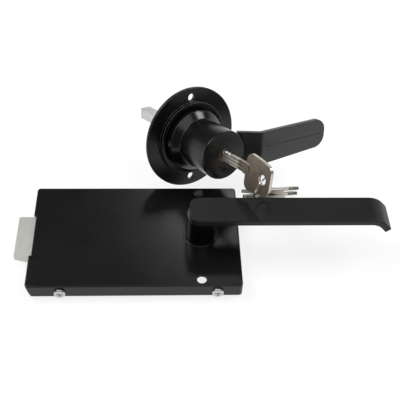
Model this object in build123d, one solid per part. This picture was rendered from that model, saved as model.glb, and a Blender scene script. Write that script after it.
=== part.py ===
from build123d import *
from math import asin, atan2, cos, degrees, hypot, pi, radians, sin, sqrt, tan
import os

# Surface fire door lock: a black sheet steel case with a slide latch and an inside lever,
# and the outside lever unit that belongs to it, taken off and laid behind the case with its key
# in the cylinder.
#
# Millimetres. The origin is on the follower's axis at the back face of the case. +X runs along
# the inside lever, the latch points to -X, +Z stands out of the back face and +Y is away from
# the viewer. The outside unit is drawn in its own frame: X along its lever, Y square to that in
# the plane of the rose, Z out of the door, from the centre of the rose's front face.

# Lock case
CASE_LENGTH = 145.0
CASE_WIDTH = 90.0
CASE_HEIGHT = 11.7
SHEET = 1.5
LATCH_SIDE = 117.5
WALL_LIFT = 1.4
CORNER_R = 2.5
FOLD_R = 0.8
CASE_GAP = 0.3
FOREND_LEAN = 4.2
FIXING_SPACING = 79.0
FIXING_HOLE_D = 6.6
FIXING_WINDOW = (18.0, 19.0)
COVER_SCREW_D = 4.0
COVER_SCREW_HEAD_D = 8.0
COVER_SCREW_HEAD = 1.8
COVER_SCREW_LENGTH = 8.0
COVER_SCREW_INSET = (22.8, 16.7)
COVER_SCREW_Z = 5.3
EAR_WIDTH = 12.0

# Follower, bushes and inside lever
SQUARE = 8.0
SQUARE_FIT = 0.2
JOURNAL_D = 18.0
SHAFT_CLEARANCE = 0.05
BUSH_OD = 22.0
BUSH_FLANGE_D = 24.4
BUSH_FLANGE = 0.8
FOLLOWER_D = 24.0
FOLLOWER_BODY = (2.2, 9.9)
JOURNAL_WALL = 0.5
ARM_R = 15.0
ARM_TIP_D = 5.0
ARM_Z = (4.2, 7.6)
HUB_BASE_D = 20.7
HUB_TOP_D = 18.6
HUB_FILLET = 1.0
LEVER_TOP = 38.0
LEVER_THICK = 4.5
LEVER_WIDTH = 22.0
LEVER_LENGTH = 130.2
LEVER_BACK = 7.5
LEVER_CORNER = 6.0
LEVER_CURL_R = 14.0
LEVER_CURL = 50.0
LEVER_END = 5.0
LEVER_EDGE = 0.7
SOCKET_DEPTH = 26.0
GRUB_D = 4.0

# Latch
LATCH_OUT = 10.3
LATCH_WIDTH = 36.2
LATCH_TOP = 10.0
LATCH_FLOOR = 1.8
LATCH_TIP = 3.0
LATCH_BODY = 29.0
LATCH_GAP = 0.3
LATCH_TRAVEL = 10.0
SLIDE_Z = (4.9, 6.9)
SLIDE_NECK = 20.0
SLIDE_GRIP = 13.5
RAIL_OUT = 23.5
RAIL_IN = 19.2
HORN_IN = 12.9
HORN_GAP = 0.3
HORN_LENGTH = 6.2
WINDOW_BACK = 27.0
RAIL_ROOT = 7.0
SPRING_OD = 6.6
SPRING_WIRE = 0.9
SPRING_TURNS = 7
SPRING_Y = 14.4
SPRING_Z = 5.9
BRACKET_X = -56.0
BRACKET_BASE = 13.0
BRACKET_HALF = 19.0
ROD_D = 3.0
ROD_PAST = 10.0
RIVET_D = 4.0

# Outside unit: where it lies, and the rose
ROSE_X = -5.0
ROSE_Y = 72.8
UNIT_TURN = 34.6
UNIT_TILT = 17.6
UNIT_ROLL = -11.2
ROSE_D = 76.0
ROSE_THICK = 2.5
ROSE_RIM_OD = 54.6
ROSE_RIM_ID = 50.6
ROSE_RIM = 2.8
ROSE_HOLE_PCD = 62.0
ROSE_HOLE_D = 5.5
ROSE_BORE_D = 28.2
WASHER_OD = 44.0
WASHER = 0.5
LOCK_NOTCH_DEPTH = 3.6

# Outside handle
SKIRT_D = 45.4
SKIRT_TOP = 8.0
SKIRT_CHAMFER = 0.8
CONE_TOP = 11.6
BARREL_D = 36.0
BARREL_LENGTH = 41.0
BARREL_BORE_D = 18.1
BARREL_FACE = 2.0
TAIL_END = -12.0
TAIL_D = 28.0
RING_GROOVE = (-4.2, -3.1)
RING_OD = 34.0
RING_ID = 25.5
RING_GROOVE_D = 25.4
RING_FIT = 0.05
BACK_WASHER_OD = 40.0
CARRIER_TOP = -3.0
SPINDLE_BEHIND = 65.0
PIN_D = 3.0
PIN_Z = -8.0
STRAP_THICK = 3.0
STRAP_WIDTH = 25.0
STRAP_END_WIDTH = 21.5
STRAP_BEND_X = 29.4
STRAP_BEND_Z = 44.7
STRAP_NECK = 37.5
STRAP_RISE = 2.8
STRAP_PADDLE = 58.0
STRAP_END_R = 9.0
STRAP_BEND_R = 2.2
STRAP_ROOT_X = 15.6
GROOVE_WIDTH = 0.8
GROOVE_DEPTH = 0.5
GROOVE_SIDE = 1.1
GROOVE_ENDS = (2.5, 4.0)
HANDLE_GRUB_ANGLE = 175.0
HANDLE_GRUB_Z = 5.4

# Cylinder, plug and lock slide
CYLINDER_D = 18.0
CYLINDER_FOOT = 6.0
PLUG_D = 11.0
PLUG_SHOULDER = 0.75
PLUG_NOSE_FIT = 0.1
PLUG_RECESS = 0.3
CAM_D = 14.0
CAM_Z = (4.3, 5.9)
CAM_PIN_D = 2.5
CAM_THROW = 2.5
LOCK_SLIDE_Z = (-2.4, -0.4)
LOCK_SLIDE_WIDTH = 5.0
LOCK_SLIDE_HEAD = 11.0
LOCK_SLIDE_REST = 13.7
LOCK_SLIDE_BACK = 6.5
LOCK_SLIDE_GAP = 0.3

# Keys
KEYWAY_TURN = -7.6
KEY_THICK = 2.3
KEY_BLADE = 7.2
KEY_FIT = 0.25
KEY_COLLAR = 8.0
KEY_COLLAR_LENGTH = 6.0
KEY_COLLAR_THICK = 3.4
KEY_BLADE_LENGTH = 31.0
KEY_OUT = 22.9
KEY_HEAD_FOOT = 3.0
KEY_HEAD_END = 28.7
KEY_SHOULDER_WIDTH = 26.4
KEY_END_WIDTH = 18.9
KEY_SIDE_BOW = 0.9
KEY_CORNER_R = 5.0
KEY_HEAD_SHIFT = -1.25
KEY_HOLE_D = 7.4
KEY_HOLE_OFFSET = -2.0
KEY_HOLE_FROM_END = 7.9
KEY_CUT_DEPTHS = (1.3, 0.7, 1.6, 1.0)
KEY_CUT_FIRST = 16.5
KEY_CUT_PITCH = 3.3
RING_MEAN_D = 17.6
RING_HANG = (0.088, 0.333, -0.939)
RING_ACROSS = (0.634, 0.708, 0.310)
RING_WIRE_D = 1.6
RING_SLACK = 1.9
SPARE_PAST = 8.0
SPARE_SLOPE = 43.0
SPARE_TURNS = (40.0, 43.0)
SPARE_CLEAR = 0.3

# Sizes that follow
CASE_LEFT = -LATCH_SIDE
CASE_RIGHT = CASE_LEFT + CASE_LENGTH
CASE_HALF = CASE_WIDTH / 2
PLATE_UNDER = CASE_HEIGHT - SHEET
INNER_HALF = CASE_HALF - SHEET
CHASSIS_HALF = INNER_HALF - CASE_GAP
SCREW_XS = (CASE_LEFT + COVER_SCREW_INSET[0], CASE_RIGHT - COVER_SCREW_INSET[1])
FOREND_FOOT = CASE_LEFT + FOREND_LEAN
CHASSIS_RIGHT = CASE_RIGHT - SHEET - CASE_GAP
LEVER_UNDER = LEVER_TOP - LEVER_THICK
HUB_FOOT = CASE_HEIGHT + BUSH_FLANGE + 0.4
BUSH_BORE_D = JOURNAL_D + 2 * SHAFT_CLEARANCE
LATCH_TIP_X = CASE_LEFT - LATCH_OUT
LATCH_BACK_X = CASE_LEFT + LATCH_BODY
HORN_FACE = ARM_TIP_D / 2 + HORN_GAP
SPRING_LENGTH = BRACKET_X - LATCH_BACK_X
HUB_SHANK = (JOURNAL_D - 2 * JOURNAL_WALL) / sqrt(2)
PLUG_NOSE_D = PLUG_D - 2 * PLUG_SHOULDER
PLUG_HOLE_D = PLUG_NOSE_D + 2 * PLUG_NOSE_FIT
SPARE_X = CASE_RIGHT + SPARE_PAST
ROSE_R = ROSE_D / 2
ROSE_Z = ROSE_R * cos(radians(UNIT_TILT)) + ROSE_THICK * sin(radians(UNIT_TILT))

parts = {}


def cylinder_between(diameter, low, high):
    """A round bar on the Z axis from one height to another."""
    return Pos(0, 0, (low + high) / 2) * Cylinder(diameter / 2, high - low)


def block(low, high):
    """A box from its lowest corner to its highest."""
    size = [b - a for a, b in zip(low, high)]
    middle = [(a + b) / 2 for a, b in zip(low, high)]
    return Pos(*middle) * Box(*size)


def plate(points, low, high):
    """A flat outline in X and Y, raised from one height to another."""
    return Pos(0, 0, low) * extrude(make_face(Polyline(*points, close=True)), high - low)


def profile_along_y(points, half_width):
    """An outline in X and Z, as thick as the given half width to either side of Y = 0."""
    face = Plane.XZ * make_face(Polyline(*points, close=True))
    return extrude(face, half_width, both=True)


def vertical_edges(solid):
    """The straight edges of a solid that stand along Z."""
    return solid.edges().filter_by(Axis.Z)


def unit_frame():
    """The outside unit's own frame, as it lies with the rim of its rose on the table."""
    turn, tilt, roll = radians(UNIT_TURN), radians(UNIT_TILT), radians(UNIT_ROLL)
    out = Vector(sin(turn) * cos(tilt), -cos(turn) * cos(tilt), sin(tilt))
    level = Vector(cos(turn), sin(turn), 0)
    rise = out.cross(level)
    lever = level * cos(roll) + rise * sin(roll)
    return Plane(origin=(ROSE_X, ROSE_Y, ROSE_Z), x_dir=lever, z_dir=out)


UNIT = unit_frame()


# The case

def case_cover():
    """A folded tray with three walls, open towards the latch end."""
    length, width, height = CASE_LENGTH, CASE_WIDTH, CASE_HEIGHT - WALL_LIFT
    middle_x = (CASE_LEFT + CASE_RIGHT) / 2
    body = Pos(middle_x, 0, WALL_LIFT + height / 2) * Box(length, width, height)
    body = fillet(vertical_edges(body), CORNER_R)
    body = fillet(body.faces().sort_by(Axis.Z)[-1].edges(), FOLD_R)
    room = block((CASE_LEFT - 1, -INNER_HALF, 0), (CASE_RIGHT - SHEET, INNER_HALF, PLATE_UNDER))
    room = fillet(vertical_edges(room).sort_by(Axis.X)[-2:], CORNER_R - SHEET)
    body -= room
    slope = FOREND_LEAN / CASE_HEIGHT
    lean = [(CASE_LEFT - 5, -1), (FOREND_FOOT, -1), (FOREND_FOOT - slope * PLATE_UNDER, PLATE_UNDER),
            (CASE_LEFT - 5, PLATE_UNDER)]
    body -= profile_along_y(lean, CASE_HALF + 1)
    notch_half = LATCH_WIDTH / 2 + LATCH_GAP
    body -= block((CASE_LEFT - 1, -notch_half, 0), (CASE_LEFT + 1.8, notch_half, CASE_HEIGHT + 1))
    body -= cylinder_between(BUSH_OD, 0, CASE_HEIGHT + 1)
    for side in (-1, 1):
        fixing = cylinder_between(FIXING_HOLE_D, 0, CASE_HEIGHT + 1)
        body -= Pos(0, side * FIXING_SPACING / 2, 0) * fixing
        for x in SCREW_XS:
            body -= Pos(x, side * CASE_HALF, COVER_SCREW_Z) * Rot(90, 0, 0) * Cylinder(
                COVER_SCREW_D / 2 + 0.2, 6)
    return body


def chassis_plate():
    """The back plate: leaning forend with the latch slot, and ears for the cover screws."""
    base = block((FOREND_FOOT, -CHASSIS_HALF, 0), (CHASSIS_RIGHT, CHASSIS_HALF, SHEET))
    slope = FOREND_LEAN / CASE_HEIGHT
    top = PLATE_UNDER - CASE_GAP
    forend = [(FOREND_FOOT, 0), (FOREND_FOOT + SHEET, 0),
              (FOREND_FOOT + SHEET - slope * top, top), (FOREND_FOOT - slope * top, top)]
    base += profile_along_y(forend, CHASSIS_HALF)
    slot_half = LATCH_WIDTH / 2 + LATCH_GAP
    base -= block((CASE_LEFT - 5, -slot_half, SHEET), (FOREND_FOOT + SHEET, slot_half, CASE_HEIGHT))
    ear_top = PLATE_UNDER - CASE_GAP
    for side in (-1, 1):
        y_out, y_in = side * CHASSIS_HALF, side * (CHASSIS_HALF - SHEET)
        for x in SCREW_XS:
            ear = block((x - EAR_WIDTH / 2, min(y_in, y_out), 0), (x + EAR_WIDTH / 2, max(y_in, y_out), ear_top))
            base += fillet(ear.edges().filter_by(Axis.Y).sort_by(Axis.Z)[-2:], 2.5)
            base -= Pos(x, side * CHASSIS_HALF, COVER_SCREW_Z) * Rot(90, 0, 0) * Cylinder(
                COVER_SCREW_D / 2, 6)
        window_x, window_y = FIXING_WINDOW
        middle = side * (CHASSIS_HALF - 2 * SHEET - window_y / 2)
        window = Pos(0, middle, 0) * Box(window_x, window_y, 4 * SHEET)
        base -= fillet(vertical_edges(window), 2)
        base -= Pos(BRACKET_X + SHEET + BRACKET_BASE * 0.55, side * SPRING_Y, 0) * Cylinder(
            RIVET_D / 2, 4 * SHEET)
    base -= Cylinder(BUSH_OD / 2, 4 * SHEET)
    return base


def cover_screws():
    """Four pan head screws through the side walls into the ears."""
    length = SHEET + CASE_GAP + COVER_SCREW_LENGTH - 4
    shank = cylinder_between(COVER_SCREW_D, -length, 0)
    head = cylinder_between(COVER_SCREW_HEAD_D, 0, COVER_SCREW_HEAD)
    head = fillet(head.edges().sort_by(Axis.Z)[-1], 0.9)
    cross = Pos(0, 0, COVER_SCREW_HEAD) * (Box(4.4, 1.0, 2.0) + Box(1.0, 4.4, 2.0))
    screw = head + shank - cross
    places = []
    for side in (-1, 1):
        for x in SCREW_XS:
            places.append(Pos(x, side * CASE_HALF, COVER_SCREW_Z) * Rot(-90 * side, 0, 0) * screw)
    return Compound(children=places)


def front_bush():
    """The thin collar round the foot of the hub, pressed into the cover."""
    bush = cylinder_between(BUSH_OD, PLATE_UNDER, CASE_HEIGHT)
    bush += cylinder_between(BUSH_FLANGE_D, CASE_HEIGHT, CASE_HEIGHT + BUSH_FLANGE)
    bush = fillet(bush.edges().filter_by(GeomType.CIRCLE).sort_by(Axis.Z)[-1], 0.3)
    return bush - cylinder_between(BUSH_BORE_D, 0, CASE_HEIGHT + 2)


def back_bush():
    """The same bush in the chassis plate, with its flange inside."""
    bush = cylinder_between(BUSH_OD, 0, SHEET)
    bush += cylinder_between(BUSH_FLANGE_D, SHEET, FOLLOWER_BODY[0] - 0.2)
    return bush - cylinder_between(BUSH_BORE_D, -1, 4)


# The inside handle

def follower():
    """The cam that draws the latch back: two journals, a body and two arms."""
    low, high = FOLLOWER_BODY
    body = cylinder_between(JOURNAL_D, 0.1, CASE_HEIGHT + 0.6) + cylinder_between(FOLLOWER_D, low, high)
    for side in (-1, 1):
        tip = Pos(0, side * ARM_R, 0) * cylinder_between(ARM_TIP_D, *ARM_Z)
        root = FOLLOWER_D / 2 - 3
        arm_y = sorted((side * root, side * ARM_R))
        arm = block((-ARM_TIP_D / 2, arm_y[0], ARM_Z[0]), (ARM_TIP_D / 2, arm_y[1], ARM_Z[1]))
        body += arm + tip
    hole = HUB_SHANK + 0.1
    body -= Pos(0, 0, CASE_HEIGHT / 2) * Box(hole, hole, 3 * CASE_HEIGHT)
    grub_z = sum(ARM_Z) / 2
    body -= Pos(FOLLOWER_D / 4, 0, grub_z) * Rot(0, 90, 0) * Cylinder(GRUB_D / 2, FOLLOWER_D / 2 + 2)
    return body


def follower_grub_screw():
    """The grub screw that clamps the follower on the hub's square shank."""
    start, end = HUB_SHANK / 2, FOLLOWER_D / 2 - 0.3
    grub = cylinder_between(GRUB_D - 0.05, start, end)
    socket = Pos(0, 0, end) * extrude(RegularPolygon(1.15, 6), -2, both=True)
    return Pos(0, 0, sum(ARM_Z) / 2) * Rot(0, 90, 0) * (grub - socket)


def lever_hub():
    """The round hub under the lever, on a square shank, with the spindle's square socket."""
    foot, top = HUB_FOOT, LEVER_UNDER
    side = Plane.XZ * make_face(Polyline((0, foot), (HUB_BASE_D / 2, foot), (HUB_TOP_D / 2, top),
                                         (0, top), close=True))
    hub = revolve(side, Axis.Z)
    hub = chamfer(hub.edges().filter_by(GeomType.CIRCLE).sort_by(Axis.Z)[0], 0.4)
    hub += Pos(0, 0, (0.3 + foot) / 2) * Box(HUB_SHANK, HUB_SHANK, foot - 0.3)
    socket = SQUARE + SQUARE_FIT
    return hub - Pos(0, 0, SOCKET_DEPTH / 2) * Box(socket, socket, SOCKET_DEPTH)


def inner_lever():
    """The flat bar of the inside lever, with its free end curled down."""
    straight_end = LEVER_LENGTH - (LEVER_CURL_R * sin(radians(LEVER_CURL))
                                   + LEVER_END * cos(radians(LEVER_CURL)))
    turn = radians(LEVER_CURL)
    outer, inner = LEVER_CURL_R, LEVER_CURL_R - LEVER_THICK
    centre = Vector(straight_end, LEVER_TOP - outer)

    def on_arc(radius, angle):
        return (centre.X + radius * sin(angle), centre.Y + radius * cos(angle))

    end = Vector(cos(turn), -sin(turn)) * LEVER_END
    out_end, in_end = on_arc(outer, turn), on_arc(inner, turn)
    top = Line((-LEVER_BACK, LEVER_TOP), (straight_end, LEVER_TOP))
    bend_out = ThreePointArc((straight_end, LEVER_TOP), on_arc(outer, turn / 2), out_end)
    drop_out = Line(out_end, (out_end[0] + end.X, out_end[1] + end.Y))
    tip = Line((out_end[0] + end.X, out_end[1] + end.Y), (in_end[0] + end.X, in_end[1] + end.Y))
    drop_in = Line((in_end[0] + end.X, in_end[1] + end.Y), in_end)
    bend_in = ThreePointArc(in_end, on_arc(inner, turn / 2), (straight_end, LEVER_UNDER))
    under = Line((straight_end, LEVER_UNDER), (-LEVER_BACK, LEVER_UNDER))
    back = Line((-LEVER_BACK, LEVER_UNDER), (-LEVER_BACK, LEVER_TOP))
    outline = make_face([top, bend_out, drop_out, tip, drop_in, bend_in, under, back])
    bar = extrude(Plane.XZ * outline, LEVER_WIDTH / 2, both=True)
    bar = fillet(vertical_edges(bar).sort_by(Axis.X)[:2], LEVER_CORNER)
    long_edges = bar.edges().filter_by(lambda e: abs(abs(e.center().Y) - LEVER_WIDTH / 2) < 0.01)
    top_edges = long_edges.filter_by(lambda e: e.center().Z > LEVER_TOP - 0.5 or e.center().X > straight_end)
    top_edges = top_edges.filter_by(lambda e: e.length > LEVER_THICK + 0.2)
    outer_only = top_edges.filter_by(lambda e: _height_above_middle(e, centre, straight_end))
    return fillet(outer_only, LEVER_EDGE)


def _height_above_middle(edge, centre, straight_end):
    """True for an edge on the lever's outer skin, over the flat run, the curl or the drop."""
    middle = edge @ 0.5
    if middle.X <= straight_end:
        return middle.Z > LEVER_TOP - LEVER_THICK / 2
    return hypot(middle.X - centre.X, middle.Z - centre.Y) > LEVER_CURL_R - LEVER_THICK / 2


# The latch

def latch_bolt():
    """The pale latch: a flat block whose nose is bevelled underneath."""
    half = LATCH_WIDTH / 2
    nose = [(LATCH_BACK_X, LATCH_FLOOR), (CASE_LEFT + 4.5, LATCH_FLOOR),
            (LATCH_TIP_X, LATCH_TOP - LATCH_TIP), (LATCH_TIP_X, LATCH_TOP),
            (LATCH_BACK_X, LATCH_TOP)]
    bolt = profile_along_y(nose, half)
    corners = bolt.edges().filter_by(Axis.Z).sort_by(Axis.X)[:2]
    bolt = fillet(corners, 0.8)
    grip_start = LATCH_BACK_X - SLIDE_GRIP
    bolt -= block((grip_start, -SLIDE_NECK / 2, SLIDE_Z[0]), (LATCH_BACK_X + 1, SLIDE_NECK / 2, SLIDE_Z[1]))
    for side in (-1, 1):
        bolt -= Pos(LATCH_BACK_X - SLIDE_GRIP / 2, side * SLIDE_NECK / 4, LATCH_TOP / 2) * Cylinder(
            RIVET_D / 2, 2 * LATCH_TOP)
        rod = Rot(0, 90, 0) * Cylinder(ROD_D / 2, 16)
        bolt -= Pos(LATCH_BACK_X, side * SPRING_Y, SPRING_Z) * rod
    return bolt


def latch_slide():
    """The plate behind the latch: a neck, then a fork whose two horns meet the follower's arms."""
    start = LATCH_BACK_X - SLIDE_GRIP
    horn_end = HORN_FACE + HORN_LENGTH
    fork_start = -WINDOW_BACK - RAIL_ROOT
    half = SLIDE_NECK / 2
    upper = [(start, half), (fork_start, half), (fork_start, RAIL_OUT), (horn_end, RAIL_OUT),
             (horn_end, HORN_IN), (HORN_FACE, HORN_IN), (HORN_FACE, RAIL_IN), (-WINDOW_BACK, RAIL_IN)]
    lower = [(x, -y) for x, y in reversed(upper)]
    slide = plate(upper + lower, *SLIDE_Z)
    outer = vertical_edges(slide).filter_by(lambda e: abs(abs(e.center().Y) - RAIL_OUT) < 0.01)
    slide = fillet(outer, 2)
    for side in (-1, 1):
        slide -= Pos(LATCH_BACK_X - SLIDE_GRIP / 2, side * SLIDE_NECK / 4, SLIDE_Z[0]) * Cylinder(
            RIVET_D / 2, 8)
    return slide


def latch_rivets():
    """Two rivets through the latch and its plate, flush with both faces."""
    rivet = cylinder_between(RIVET_D, LATCH_FLOOR, LATCH_TOP)
    return Compound(children=[Pos(LATCH_BACK_X - SLIDE_GRIP / 2, side * SLIDE_NECK / 4, 0) * rivet
                              for side in (-1, 1)])


def spring_rods():
    """Two guide rods pressed into the back of the latch, which run through the bracket."""
    start, end = LATCH_BACK_X - 8, BRACKET_X + ROD_PAST
    rod = Rot(0, 90, 0) * Cylinder(ROD_D / 2, end - start)
    rod = chamfer(rod.edges().filter_by(GeomType.CIRCLE).sort_by(Axis.X)[-1], 0.5)
    return Compound(children=[Pos((start + end) / 2, side * SPRING_Y, SPRING_Z) * rod
                              for side in (-1, 1)])


def latch_springs():
    """Two compression springs over the rods, between the latch and the bracket."""
    radius = (SPRING_OD - SPRING_WIRE) / 2
    height = SPRING_LENGTH - SPRING_WIRE - 0.2
    coil = Helix(height / SPRING_TURNS, height, radius)
    wire = Plane(origin=coil @ 0, z_dir=coil % 0) * RegularPolygon(SPRING_WIRE / 2, 6)
    turns = sweep(wire, path=coil)
    lie = Pos(LATCH_BACK_X + SPRING_WIRE / 2 + 0.1, 0, SPRING_Z) * Rot(0, 90, 0) * turns
    return Compound(children=[Pos(0, side * SPRING_Y, 0) * lie for side in (-1, 1)])


def spring_bracket():
    """The bent bracket that the springs push on and the latch's plate slides through."""
    half, top = BRACKET_HALF, PLATE_UNDER - CASE_GAP
    wall = block((BRACKET_X, -half, SHEET), (BRACKET_X + SHEET, half, top))
    foot = block((BRACKET_X, -half, SHEET), (BRACKET_X + SHEET + BRACKET_BASE, half, 2 * SHEET))
    bracket = wall + foot
    slot_y, slot_z = SLIDE_NECK / 2 + CASE_GAP, (SLIDE_Z[0] - CASE_GAP, SLIDE_Z[1] + CASE_GAP)
    bracket -= block((BRACKET_X - 1, -slot_y, slot_z[0]), (BRACKET_X + SHEET + 1, slot_y, slot_z[1]))
    for side in (-1, 1):
        hole = Rot(0, 90, 0) * Cylinder(ROD_D / 2 + 0.2, 4 * SHEET)
        bracket -= Pos(BRACKET_X, side * SPRING_Y, SPRING_Z) * hole
        bracket -= Pos(BRACKET_X + SHEET + BRACKET_BASE * 0.55, side * SPRING_Y, 2 * SHEET) * Cylinder(
            RIVET_D / 2, 4 * SHEET)
    return bracket


def bracket_rivets():
    """Two rivets that hold the bracket on the chassis plate."""
    shank = cylinder_between(RIVET_D, 0, 2 * SHEET)
    return Compound(children=[Pos(BRACKET_X + SHEET + BRACKET_BASE * 0.55, side * SPRING_Y, 0) * shank
                              for side in (-1, 1)])


# The outside unit, in its own frame

def rose_plate():
    """The round rose: a flat flange, a raised rim and two screw holes."""
    rose = cylinder_between(ROSE_D, -ROSE_THICK, 0)
    rose = chamfer(rose.edges().filter_by(GeomType.CIRCLE), 0.5)
    rose += cylinder_between(ROSE_RIM_OD, -1, ROSE_RIM)
    rose -= cylinder_between(ROSE_RIM_ID, 0, ROSE_RIM + 1)
    rose -= Cylinder(ROSE_BORE_D / 2, 20)
    for side in (-1, 1):
        rose -= Pos(0, side * ROSE_HOLE_PCD / 2, 0) * Cylinder(ROSE_HOLE_D / 2, 20)
    notch_width = LOCK_SLIDE_WIDTH + 0.5
    notch_end = ROSE_BORE_D / 2 + LOCK_NOTCH_DEPTH
    for turn in (0, 45):
        notch = Pos(0, -notch_end / 2, -ROSE_THICK) * Box(notch_width, notch_end, 2 * ROSE_THICK)
        rose -= Rot(0, 0, turn) * notch
    return rose


def rose_washer():
    """The slippery washer between the rose and the skirt of the handle."""
    washer = cylinder_between(WASHER_OD, 0, WASHER)
    return washer - Cylinder(ROSE_BORE_D / 2 + 0.1, 4)


def back_washer():
    """The steel washer behind the rose."""
    high = -ROSE_THICK
    washer = cylinder_between(BACK_WASHER_OD, RING_GROOVE[1] + RING_FIT, high)
    return washer - Pos(0, 0, high) * Cylinder(ROSE_BORE_D / 2, 4)


def retaining_ring():
    """The open spring ring in the handle's groove, with two plier holes."""
    low, high = RING_GROOVE[0] + RING_FIT, RING_GROOVE[1] - RING_FIT
    ring = cylinder_between(RING_OD, low, high) - Cylinder(RING_ID / 2, 20)
    gap = Pos(-RING_OD / 2, 0, 0) * Box(RING_OD / 2, 7, 20)
    ring -= gap
    for side in (-1, 1):
        angle = pi + side * 0.33
        lug = Pos((RING_OD / 2 - 2) * cos(angle), (RING_OD / 2 - 2) * sin(angle), 0)
        ring -= lug * Cylinder(0.9, 20)
    return ring


def outer_barrel():
    """The turned handle body: tail, skirt, cone and barrel, with the cylinder's bore."""
    tail, skirt, barrel = TAIL_D / 2, SKIRT_D / 2, BARREL_D / 2
    outline = [(0, TAIL_END), (tail - 0.8, TAIL_END), (tail, TAIL_END + 0.8), (tail, WASHER + 0.1),
               (skirt, WASHER + 0.1), (skirt, SKIRT_TOP - SKIRT_CHAMFER),
               (skirt - SKIRT_CHAMFER, SKIRT_TOP), (barrel, CONE_TOP),
               (barrel, BARREL_LENGTH), (0, BARREL_LENGTH)]
    body = revolve(Plane.XZ * make_face(Polyline(*outline, close=True)), Axis.Z)
    body = fillet(body.edges().filter_by(GeomType.CIRCLE).sort_by(Axis.Z)[-1], 0.9)
    body -= cylinder_between(BARREL_BORE_D, TAIL_END - 1, BARREL_LENGTH - BARREL_FACE)
    body -= cylinder_between(PLUG_HOLE_D, 0, BARREL_LENGTH + 1)
    groove = cylinder_between(TAIL_D + 2, *RING_GROOVE) - Cylinder(RING_GROOVE_D / 2, 20)
    body -= groove
    reach = TAIL_D / 2 + 1
    low, high = LOCK_SLIDE_Z
    slot_half = LOCK_SLIDE_WIDTH / 2 + 0.1
    body -= block((-slot_half, -reach, low - 0.1), (slot_half, 0, high + 0.1))
    body -= Pos(0, 0, PIN_Z) * Rot(0, 90, 0) * Cylinder(PIN_D / 2, TAIL_D + 2)
    turn = Rot(0, 0, HANDLE_GRUB_ANGLE)
    body -= turn * Pos(SKIRT_D / 2, 0, HANDLE_GRUB_Z) * Rot(0, 90, 0) * Cylinder(GRUB_D / 2, SKIRT_D)
    return body


def strap_outline():
    """Neck and paddle of the outside lever, seen along Y: points of the middle line."""
    neck, rise = radians(STRAP_NECK), radians(STRAP_RISE)
    bend = Vector(STRAP_BEND_X, STRAP_BEND_Z)
    root_length = (STRAP_BEND_X - STRAP_ROOT_X) / cos(neck)
    root = bend - Vector(cos(neck), sin(neck)) * root_length
    end = bend + Vector(cos(rise), sin(rise)) * STRAP_PADDLE
    return root, bend, end


def outer_lever():
    """The bent strap of the outside lever, with a rounded end and a fine groove."""
    root, bend, end = strap_outline()
    neck, rise = radians(STRAP_NECK), radians(STRAP_RISE)
    off_neck = Vector(-sin(neck), cos(neck)) * (STRAP_THICK / 2)
    off_rise = Vector(-sin(rise), cos(rise)) * (STRAP_THICK / 2)
    half_turn = (neck - rise) / 2
    mitre = Vector(-sin((neck + rise) / 2), cos((neck + rise) / 2)) * (STRAP_THICK / 2 / cos(half_turn))
    points = [root + off_neck, bend + mitre, end + off_rise, end - off_rise, bend - mitre, root - off_neck]
    strap = profile_along_y([(p.X, p.Y) for p in points], STRAP_WIDTH / 2)
    lower_end = STRAP_WIDTH / 2 - STRAP_END_WIDTH
    strap &= plate([(0, -STRAP_WIDTH / 2), (bend.X, -STRAP_WIDTH / 2), (end.X + 1, lower_end),
                    (end.X + 1, STRAP_WIDTH / 2), (0, STRAP_WIDTH / 2)], 0, 3 * STRAP_BEND_Z)
    bends = strap.edges().filter_by(Axis.Y).filter_by(
        lambda e: hypot(e.center().X - bend.X, e.center().Z - bend.Y) < STRAP_THICK)
    outside = bends.sort_by(Axis.Z)[-1]
    inside = bends.sort_by(Axis.Z)[0]
    strap = fillet(outside, STRAP_BEND_R + STRAP_THICK)
    inside = strap.edges().filter_by(Axis.Y).sort_by_distance(inside.center())[0]
    strap = fillet(inside, STRAP_BEND_R)
    tip = strap.faces().sort_by(Axis.X)[-1]
    strap = fillet(tip.edges().filter_by(lambda e: e.length < STRAP_THICK + 0.5), STRAP_END_R)
    flat = Plane(origin=(bend.X, 0, bend.Y), x_dir=(cos(rise), 0, sin(rise)),
                 z_dir=(-sin(rise), 0, cos(rise)))
    first, last = GROOVE_ENDS
    groove_length = STRAP_PADDLE - first - last
    groove = Pos(first + groove_length / 2, GROOVE_SIDE, STRAP_THICK / 2) * Box(
        groove_length, GROOVE_WIDTH, 2 * GROOVE_DEPTH)
    strap -= flat * groove
    return strap - cylinder_between(BARREL_D, 0, BARREL_LENGTH)


def barrel_grub_screw():
    """The grub screw in the skirt that clamps the cylinder."""
    start, end = CYLINDER_D / 2, SKIRT_D / 2 - 0.4
    grub = cylinder_between(GRUB_D - 0.05, start, end)
    socket = Pos(0, 0, end) * extrude(RegularPolygon(1.15, 6), -2, both=True)
    return Rot(0, 0, HANDLE_GRUB_ANGLE) * Pos(0, 0, HANDLE_GRUB_Z) * Rot(0, 90, 0) * (grub - socket)


def spindle_carrier():
    """The round block in the handle's tail that holds the spindle."""
    carrier = cylinder_between(BARREL_BORE_D - 0.1, TAIL_END, CARRIER_TOP)
    carrier -= Box(SQUARE, SQUARE, 40)
    return carrier - Pos(0, 0, PIN_Z) * Rot(0, 90, 0) * Cylinder(PIN_D / 2, TAIL_D + 2)


def spindle():
    """The square spindle that turns the follower, cross drilled for its pin."""
    length = SPINDLE_BEHIND + CARRIER_TOP
    bar = Pos(0, 0, CARRIER_TOP - length / 2) * Box(SQUARE, SQUARE, length)
    bar = chamfer(bar.faces().sort_by(Axis.Z)[0].edges(), 0.8)
    return bar - Pos(0, 0, PIN_Z) * Rot(0, 90, 0) * Cylinder(PIN_D / 2, TAIL_D)


def spindle_pin():
    """The cross pin through tail, carrier and spindle."""
    return Pos(0, 0, PIN_Z) * Rot(0, 90, 0) * Cylinder(PIN_D / 2, TAIL_D - 1)


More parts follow.
